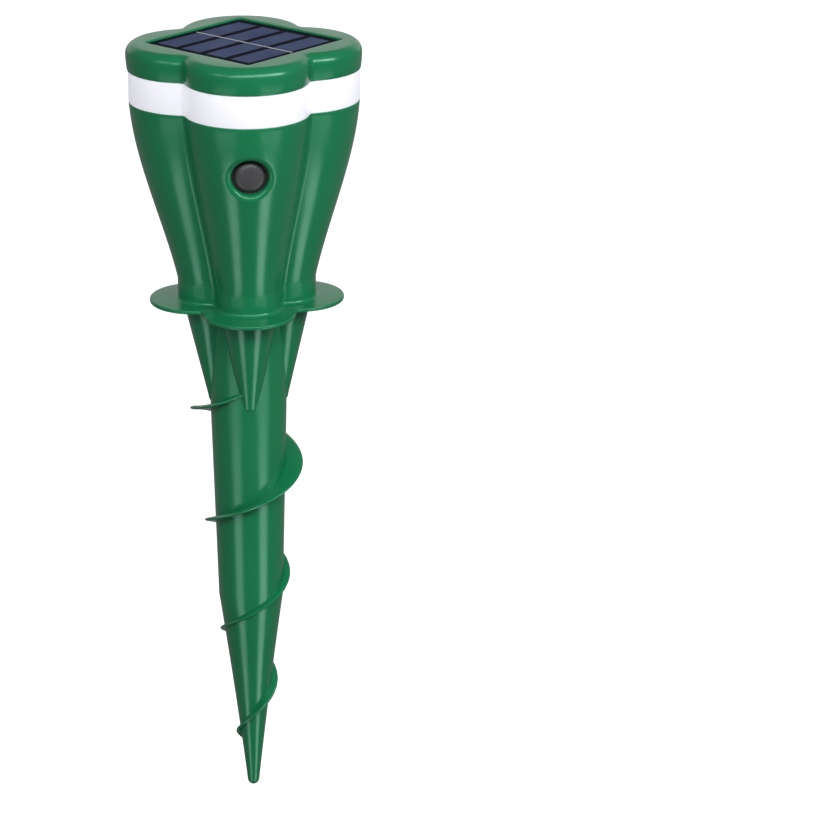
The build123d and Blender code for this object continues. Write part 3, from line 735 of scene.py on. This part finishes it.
# solar panel: dark face, cells laid out by a node tree, and the ribbon between them
def buildPanelFace():
    side = panelSizes["side"]
    corner = panelSizes["corner"]
    low = boardHigh.z
    high = coatHigh.z
    rings = [
        roundedSquare(side, corner, low),
        roundedSquare(side, corner, high - panelSizes["edge"]),
        roundedSquare(side - 2 * panelSizes["edge"], corner, high),
    ]
    return loftRings("panelFace", rings)


def cellTree():
    labels = ["Columns Pitch", "Rows Pitch", "Cell Length", "Cell Width", "Thickness", "Height"]
    sockets = [(label, "Float") for label in labels] + [("Rows", "Int"), ("Material", "Material")]
    tree, given, result = newTree("cellRows", sockets)
    spots = toolNode(tree, "GeometryNodeMeshGrid")
    rowsSpan = sums(tree, "SUBTRACT", given.outputs["Rows"], 1.0)
    rowsSpan = sums(tree, "MULTIPLY", rowsSpan, given.outputs["Rows Pitch"])
    tree.links.new(given.outputs["Columns Pitch"], spots.inputs["Size X"])
    tree.links.new(rowsSpan, spots.inputs["Size Y"])
    spots.inputs["Vertices X"].default_value = 2
    tree.links.new(given.outputs["Rows"], spots.inputs["Vertices Y"])
    size = toolNode(tree, "ShaderNodeCombineXYZ")
    for label, target in zip(("Cell Length", "Cell Width", "Thickness"), size.inputs):
        tree.links.new(given.outputs[label], target)
    cell = toolNode(tree, "GeometryNodeMeshCube")
    tree.links.new(size.outputs[0], cell.inputs["Size"])
    scatter = toolNode(tree, "GeometryNodeInstanceOnPoints")
    tree.links.new(spots.outputs["Mesh"], scatter.inputs["Points"])
    tree.links.new(cell.outputs["Mesh"], scatter.inputs["Instance"])
    lift = toolNode(tree, "ShaderNodeCombineXYZ")
    tree.links.new(given.outputs["Height"], lift.inputs["Z"])
    turn = toolNode(tree, "GeometryNodeTransform")
    tree.links.new(scatter.outputs[0], turn.inputs["Geometry"])
    tree.links.new(lift.outputs[0], turn.inputs["Translation"])
    turn.inputs["Rotation"].default_value = (0, 0, math.radians(45))
    real = toolNode(tree, "GeometryNodeRealizeInstances")
    tree.links.new(turn.outputs[0], real.inputs[0])
    paint = toolNode(tree, "GeometryNodeSetMaterial")
    tree.links.new(real.outputs[0], paint.inputs["Geometry"])
    tree.links.new(given.outputs["Material"], paint.inputs["Material"])
    tree.links.new(paint.outputs[0], result.inputs[0])
    return tree


def buildCells(material):
    thickness = coatHigh.z - cellLow.z + panelSizes["proud"]
    return runTree("solarCells", cellTree(), {
        "Columns Pitch": panelSizes["cellLength"] + panelSizes["cellSplit"],
        "Rows Pitch": panelSizes["cellPitch"],
        "Cell Length": panelSizes["cellLength"],
        "Cell Width": panelSizes["cellWidth"],
        "Thickness": thickness,
        "Height": cellLow.z + thickness / 2,
        "Rows": 4,
        "Material": material,
    })


def buildRibbon():
    length = panelSizes["ribbonLength"] / 2
    width = panelSizes["ribbonWidth"] / 2
    low = cellLow.z
    high = coatHigh.z + panelSizes["proud"] * 1.5
    turn = Matrix.Rotation(math.radians(45), 3, "Z")
    rings = []
    edge = panelSizes["ribbonEdge"]
    for height, inset in ((low, 0.0), (high - edge, 0.0), (high, edge)):
        corners = [(-1, -1), (1, -1), (1, 1), (-1, 1)]
        half = Vector((width - inset, length - inset, 1))
        rings.append([turn @ (Vector((x, y, height)) * half) for x, y in corners])
    return loftRings("busRibbon", rings)


panelFace = buildPanelFace()
busRibbon = buildRibbon()


# button: satin dome with a flange and a stem behind it
def buildButton():
    front = -buttonLow.y
    back = -buttonHigh.y
    dome = buttonSizes["domeRadius"]
    flangeFront = -guideLow.y - buttonSizes["guideWall"] - buttonSizes["slideGap"]
    flangeBack = flangeFront - buttonSizes["flangeThickness"]
    profile = [
        (0, back),
        (buttonSizes["stemRadius"] - 0.0003, back),
        (buttonSizes["stemRadius"], back + 0.0003),
        (buttonSizes["stemRadius"], flangeBack),
        (buttonSizes["flangeRadius"] - 0.0002, flangeBack),
        (buttonSizes["flangeRadius"], flangeBack + 0.0002),
        (buttonSizes["flangeRadius"], flangeFront - 0.0002),
        (buttonSizes["flangeRadius"] - 0.0002, flangeFront),
        (dome, flangeFront),
        (dome, front - buttonSizes["domeHeight"]),
    ]
    for step in range(1, 15):
        turn = math.radians(90) * step / 14
        radius = dome * math.cos(turn) ** buttonSizes["domeSquareness"]
        profile.append((radius, front - buttonSizes["domeHeight"] * (1 - math.sin(turn))))
    return spinProfile("buttonDome", profile, (0, 0, buttonHeight), (0, -1, 0), 96)


buttonDome = buildButton()
print("button and panel built")


# finishes
def newFinish(name):
    material = bpy.data.materials.new(name)
    material.use_nodes = True
    tree = material.node_tree
    shader = tree.nodes["Principled BSDF"]
    return material, tree, shader


def noiseAt(tree, scale, detail=3.0, roughness=0.5, turned=0.0):
    place = toolNode(tree, "ShaderNodeTexCoord")
    spin = toolNode(tree, "ShaderNodeMapping")
    spin.inputs["Rotation"].default_value = (0, 0, turned)
    noise = toolNode(tree, "ShaderNodeTexNoise")
    noise.inputs["Scale"].default_value = scale
    noise.inputs["Detail"].default_value = detail
    noise.inputs["Roughness"].default_value = roughness
    tree.links.new(place.outputs["Object"], spin.inputs["Vector"])
    tree.links.new(spin.outputs["Vector"], noise.inputs["Vector"])
    return noise.outputs["Fac"]


def spread(tree, source, low, high):
    node = toolNode(tree, "ShaderNodeMapRange")
    node.inputs["From Min"].default_value = 0.3
    node.inputs["From Max"].default_value = 0.7
    node.inputs["To Min"].default_value = low
    node.inputs["To Max"].default_value = high
    tree.links.new(source, node.inputs["Value"])
    return node.outputs["Result"]


def colourBetween(tree, source, first, second):
    mix = toolNode(tree, "ShaderNodeMix", data_type="RGBA")
    mix.inputs["A"].default_value = (*first, 1)
    mix.inputs["B"].default_value = (*second, 1)
    tree.links.new(source, mix.inputs["Factor"])
    return mix.outputs["Result"]


def addBump(tree, shader, source, strength, distance):
    bump = toolNode(tree, "ShaderNodeBump")
    bump.inputs["Strength"].default_value = strength
    bump.inputs["Distance"].default_value = distance
    tree.links.new(source, bump.inputs["Height"])
    tree.links.new(bump.outputs["Normal"], shader.inputs["Normal"])


def mouldedFinish(name, look):
    # moulded plastic, rubber and plated metal: colour drift, uneven gloss and a fine skin, with an optional
    # painted glow
    material, tree, shader = newFinish(name)
    drift = noiseAt(tree, look.get("driftScale", 40), 3)
    base = look["colour"]
    darker = tuple(value * (1 - look.get("drift", 0.08)) for value in base)
    lighter = tuple(min(1, value * (1 + look.get("drift", 0.08))) for value in base)
    drifting = colourBetween(tree, spread(tree, drift, 0, 1), darker, lighter)
    tree.links.new(drifting, shader.inputs["Base Color"])
    uneven = noiseAt(tree, look.get("glossScale", 220), 4, 0.6, 0.7)
    rough = look["roughness"]
    tree.links.new(
        spread(tree, uneven, rough * (1 - look.get("uneven", 0.2)), rough * (1 + look.get("uneven", 0.2))),
        shader.inputs["Roughness"],
    )
    addBump(tree, shader, noiseAt(tree, look.get("skinScale", 900), 2, 0.5, 1.9), look.get("bump", 0.15),
            look.get("skinDepth", 0.00003))
    shader.inputs["Metallic"].default_value = look.get("metallic", 0)
    shader.inputs["Coat Weight"].default_value = look.get("coat", 0)
    shader.inputs["Coat Roughness"].default_value = look.get("coatRoughness", 0.1)
    shader.inputs["IOR"].default_value = look.get("ior", 1.5)
    shader.inputs["Specular IOR Level"].default_value = look.get("specular", 0.5)
    shader.inputs["Specular Tint"].default_value = (*look.get("tint", (1, 1, 1)), 1)
    shader.inputs["Subsurface Weight"].default_value = look.get("depth", 0)
    shader.inputs["Subsurface Radius"].default_value = look.get("depthRadius", (1, 1, 1))
    shader.inputs["Subsurface Scale"].default_value = look.get("depthScale", 0.005)
    # painted glow: an even emission makes the part shine as if lit from within, though nothing inside it
    # gives light
    if look.get("paintedGlow"):
        shader.inputs["Emission Color"].default_value = (*look["paintedGlowColour"], 1)
        shader.inputs["Emission Strength"].default_value = look["paintedGlow"]
    return material


looks = {
    "shellGreen": {"colour": (0.0062, 0.160, 0.061), "roughness": 0.24, "drift": 0.05, "driftScale": 18,
                   "glossScale": 60, "uneven": 0.14, "skinScale": 420, "bump": 0.05,
                   "tint": (0.62, 1.0, 0.86)},
    # the band's emission is a painted glow: it shines evenly though the lamps inside it give no light
    "bandWhite": {"colour": (0.57, 0.57, 0.63), "roughness": 0.36, "drift": 0.015, "driftScale": 25,
                  "depth": 0.3, "depthScale": 0.004, "paintedGlow": 0.44, "paintedGlowColour": (0.94, 0.94, 1.0),
                  "bump": 0.06, "skinScale": 300},
    "sealRubber": {"colour": (0.012, 0.012, 0.013), "roughness": 0.75, "drift": 0.2, "bump": 0.3},
    "foamTape": {"colour": (0.02, 0.02, 0.021), "roughness": 0.95, "drift": 0.25, "bump": 0.8,
                 "skinScale": 1500},
    "screwSteel": {"colour": (0.58, 0.58, 0.60), "roughness": 0.3, "metallic": 1, "drift": 0.06,
                   "glossScale": 900},
    "reflectorWhite": {"colour": (0.84, 0.84, 0.82), "roughness": 0.28, "drift": 0.02},
    "circuitGreen": {"colour": (0.01, 0.09, 0.035), "roughness": 0.3, "drift": 0.15, "driftScale": 160,
                     "coat": 0.3},
    "lampYellow": {"colour": (0.84, 0.66, 0.12), "roughness": 0.35, "drift": 0.06, "driftScale": 300},
    "chipBlack": {"colour": (0.015, 0.015, 0.016), "roughness": 0.6, "drift": 0.15, "bump": 0.35,
                  "skinScale": 2500},
    "capacitorCan": {"colour": (0.62, 0.63, 0.65), "roughness": 0.25, "metallic": 1, "drift": 0.05},
    "coilCopper": {"colour": (0.63, 0.26, 0.11), "roughness": 0.3, "metallic": 1, "drift": 0.1},
    "socketIvory": {"colour": (0.72, 0.66, 0.5), "roughness": 0.45, "drift": 0.04},
    "holderBlack": {"colour": (0.008, 0.008, 0.009), "roughness": 0.55, "drift": 0.15, "bump": 0.3,
                    "skinScale": 1600},
    "contactNickel": {"colour": (0.62, 0.6, 0.55), "roughness": 0.22, "metallic": 1, "drift": 0.05},
    "sounderBrass": {"colour": (0.66, 0.42, 0.12), "roughness": 0.3, "metallic": 1, "drift": 0.08},
    "buttonGrey": {"colour": (0.047, 0.047, 0.05), "roughness": 0.42, "drift": 0.1, "driftScale": 180,
                   "bump": 0.25, "skinScale": 1500},
    "plungerRed": {"colour": (0.26, 0.01, 0.008), "roughness": 0.4, "drift": 0.08},
    "leadRed": {"colour": (0.34, 0.008, 0.008), "roughness": 0.45, "drift": 0.08},
    "leadBlack": {"colour": (0.01, 0.01, 0.011), "roughness": 0.45, "drift": 0.15},
    "panelBlack": {"colour": (0.0025, 0.003, 0.008), "roughness": 0.3, "drift": 0.3, "specular": 0,
                   "coat": 0.05},
    "batteryWrap": {"colour": (0.012, 0.075, 0.32), "roughness": 0.25, "drift": 0.06, "coat": 0.4},
    "tinnedRibbon": {"colour": (0.62, 0.65, 0.70), "roughness": 0.32, "metallic": 0.85, "drift": 0.12,
                     "driftScale": 500, "glossScale": 1500},
}
finishes = {name: mouldedFinish(name, look) for name, look in looks.items()}


def cellFinish():
    # dark blue silicon with fine printed fingers across each cell
    sizes = {"fingerPitch": 0.0019, "fingerShare": 0.10}
    material, tree, shader = newFinish("cellBlue")
    place = toolNode(tree, "ShaderNodeTexCoord")
    spin = toolNode(tree, "ShaderNodeMapping")
    spin.inputs["Rotation"].default_value = (0, 0, math.radians(-45))
    tree.links.new(place.outputs["Object"], spin.inputs["Vector"])
    split = toolNode(tree, "ShaderNodeSeparateXYZ")
    tree.links.new(spin.outputs["Vector"], split.inputs[0])
    step = sums(tree, "DIVIDE", split.outputs["X"], sizes["fingerPitch"])
    finger = sums(tree, "LESS_THAN", sums(tree, "FRACT", step), sizes["fingerShare"])
    grain = spread(tree, noiseAt(tree, 60, 4, 0.6), 0, 1)
    silicon = colourBetween(tree, grain, (0.040, 0.056, 0.125), (0.062, 0.082, 0.165))
    mix = toolNode(tree, "ShaderNodeMix", data_type="RGBA")
    mix.inputs["B"].default_value = (0.085, 0.105, 0.20, 1)
    tree.links.new(finger, mix.inputs["Factor"])
    tree.links.new(silicon, mix.inputs["A"])
    tree.links.new(mix.outputs["Result"], shader.inputs["Base Color"])
    tree.links.new(spread(tree, noiseAt(tree, 300, 3), 0.22, 0.34), shader.inputs["Roughness"])
    shader.inputs["Specular IOR Level"].default_value = 0
    shader.inputs["Coat Weight"].default_value = 0.06
    return material


finishes["cellBlue"] = cellFinish()
solarCells = buildCells(finishes["cellBlue"])


def paint(piece, finish):
    piece.data.materials.clear()
    piece.data.materials.append(finishes[finish])


slotFinish = {
    "shell_green": "shellGreen",
    "stake_green": "shellGreen",
    "band_white": "bandWhite",
    "seal_rubber": "sealRubber",
    "foam_tape": "foamTape",
    "panel_black": "panelBlack",
    "cell_blue": "cellBlue",
    "tinned_ribbon": "tinnedRibbon",
    "clear_coat": "panelBlack",
    "screw_steel": "screwSteel",
    "reflector_white": "reflectorWhite",
    "circuit_green": "circuitGreen",
    "lamp_yellow": "lampYellow",
    "chip_black": "chipBlack",
    "capacitor_can": "capacitorCan",
    "coil_copper": "coilCopper",
    "socket_ivory": "socketIvory",
    "holder_black": "holderBlack",
    "battery_wrap": "batteryWrap",
    "contact_nickel": "contactNickel",
    "sounder_brass": "sounderBrass",
    "button_grey": "buttonGrey",
    "plunger_red": "plungerRed",
    "lead_red": "leadRed",
    "lead_black": "leadBlack",
}
for part in frame["record"]["subparts"]:
    paint(nodes[part["node"]], slotFinish[part["material_slot"]])

newPieces = [  # piece, finish, slot, body, CAD nodes it stands for
    (housingShell, "shellGreen", "shell_green", "head", ["housing"]),
    (lidShell, "shellGreen", "shell_green", "head", ["lid"]),
    (lightBandRing, "bandWhite", "band_white", "head", ["light_band"]),
    (stakeScrew, "shellGreen", "stake_green", "stake", ["stake"]),
    (panelFace, "panelBlack", "panel_black", "head", ["panel_coat"]),
    (solarCells, "cellBlue", "cell_blue", "head", ["solar_cells"]),
    (busRibbon, "tinnedRibbon", "tinned_ribbon", "head", ["bus_ribbon"]),
    (buttonDome, "buttonGrey", "button_grey", "button", ["button"]),
]
for piece, finish, slot, body, stoodFor in newPieces:
    paint(piece, finish)
    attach(piece, body)
    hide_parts(*stoodFor)
print("finishes on", len(nodes), "parts and", len(newPieces), "pieces")


# floor, light and camera
stageSizes = {
    "floorHalf": 6.0,
    "floorDrop": 0.0005,
    "floorGlow": 0.92,
    "floorTone": 0.45,
    "sky": 0.24,
    "lampAim": 0.2,
}


def buildStage():
    half = stageSizes["floorHalf"]
    floor = meshObject(
        "floor",
        [(x * half, y * half, -stageSizes["floorDrop"]) for x, y in ((-1, -1), (1, -1), (1, 1), (-1, 1))],
        [(0, 1, 2, 3)],
    )
    material, tree, shader = newFinish("paleFloor")
    tone = stageSizes["floorTone"]
    drift = spread(tree, noiseAt(tree, 3, 2), 0, 1)
    pale = colourBetween(tree, drift, (tone, tone, tone), (tone * 1.03, tone * 1.03, tone * 1.03))
    tree.links.new(pale, shader.inputs["Base Color"])
    shader.inputs["Roughness"].default_value = 0.9
    shader.inputs["Specular IOR Level"].default_value = 0
    shader.inputs["Emission Color"].default_value = (1, 1, 1, 1)
    shader.inputs["Emission Strength"].default_value = stageSizes["floorGlow"]
    floor.data.materials.append(material)
    floor.visible_glossy = False  # the plastic mirrors the lamps, not the paper
    floor.visible_diffuse = False
    world = bpy.data.worlds.new("studioSky")
    world.use_nodes = True
    sky = world.node_tree.nodes["Background"]
    sky.inputs["Color"].default_value = (1, 1, 1, 1)
    sky.inputs["Strength"].default_value = stageSizes["sky"]
    bpy.context.scene.world = world


lamps = [  # name, azimuth and elevation in degrees, distance, width, height, brightness
    ("frontTop", 18, 37, 1.4, 2.6, 0.34, 9.0),
    ("leftBox", -54, 32, 1.5, 0.5, 0.5, 2.6),
    ("rightBox", 54, 32, 1.5, 0.5, 0.5, 4.2),
    ("backdrop", 177, 20, 1.8, 3.4, 1.1, 0.5),
]
# the strips stand below the floor: they show as the long streaks in the plastic and light nothing else
strips = [  # name, azimuth in degrees, distance, lower and upper height, width, brightness
    ("leftStrip", -43, 0.70, -0.75, -0.13, 0.31, 3.0),
    ("rightStrip", 42, 0.70, -0.75, -0.13, 0.32, 4.2),
    ("leftLidStrip", -43, 1.35, -0.36, -0.21, 1.00, 2.4),
    ("rightLidStrip", 42, 1.35, -0.36, -0.21, 1.00, 3.2),
]


def addLamp(name, place, facing, width, height, brightness):
    data = bpy.data.lights.new(name, "AREA")
    data.shape = "RECTANGLE"
    data.size = width
    data.size_y = height
    data.energy = brightness * math.pi * width * height
    lamp = bpy.data.objects.new(name, data)
    bpy.context.scene.collection.objects.link(lamp)
    lamp.location = place
    lamp.rotation_euler = facing.to_track_quat("Z", "Y").to_euler()
    lamp.visible_camera = False


def buildLamps():
    for name, azimuth, elevation, distance, width, height, brightness in lamps:
        a, e = math.radians(azimuth), math.radians(elevation)
        towards = Vector((math.sin(a) * math.cos(e), -math.cos(a) * math.cos(e), math.sin(e)))
        place = Vector((0, 0, stageSizes["lampAim"])) + towards * distance
        addLamp(name, place, towards, width, height, brightness)
    for name, azimuth, distance, low, high, width, brightness in strips:
        a = math.radians(azimuth)
        outward = Vector((math.sin(a), -math.cos(a), 0))
        place = outward * distance + Vector((0, 0, (low + high) / 2))
        addLamp(name, place, outward, width, high - low, brightness)


cameraPlan = {
    "lens": 127.42,
    "distance": 1.435,
    "azimuth": -2.4,
    "elevation": 21.72,
    "aimHeight": 0.1817,
    "panRight": 3.227,
    "tiltUp": 0.729,
    "roll": -0.804,
}


def buildCamera():
    a, e = math.radians(cameraPlan["azimuth"]), math.radians(cameraPlan["elevation"])
    aim = Vector((0, 0, cameraPlan["aimHeight"]))
    away = Vector((math.sin(a) * math.cos(e), -math.cos(a) * math.cos(e), math.sin(e)))
    data = bpy.data.cameras.new("camera")
    data.lens = cameraPlan["lens"]
    data.sensor_width = 36
    data.clip_end = 50
    camera = bpy.data.objects.new("camera", data)
    bpy.context.scene.collection.objects.link(camera)
    looking = away.to_track_quat("Z", "Y").to_matrix()
    looking = looking @ Matrix.Rotation(math.radians(-cameraPlan["panRight"]), 3, "Y")
    looking = looking @ Matrix.Rotation(math.radians(cameraPlan["tiltUp"]), 3, "X")
    looking = looking @ Matrix.Rotation(math.radians(cameraPlan["roll"]), 3, "Z")
    camera.matrix_world = Matrix.Translation(aim + away * cameraPlan["distance"]) @ looking.to_4x4()
    bpy.context.scene.camera = camera


buildStage()
buildLamps()
buildCamera()
bpy.context.scene.view_settings.view_transform = "Standard"
print("stage ready")
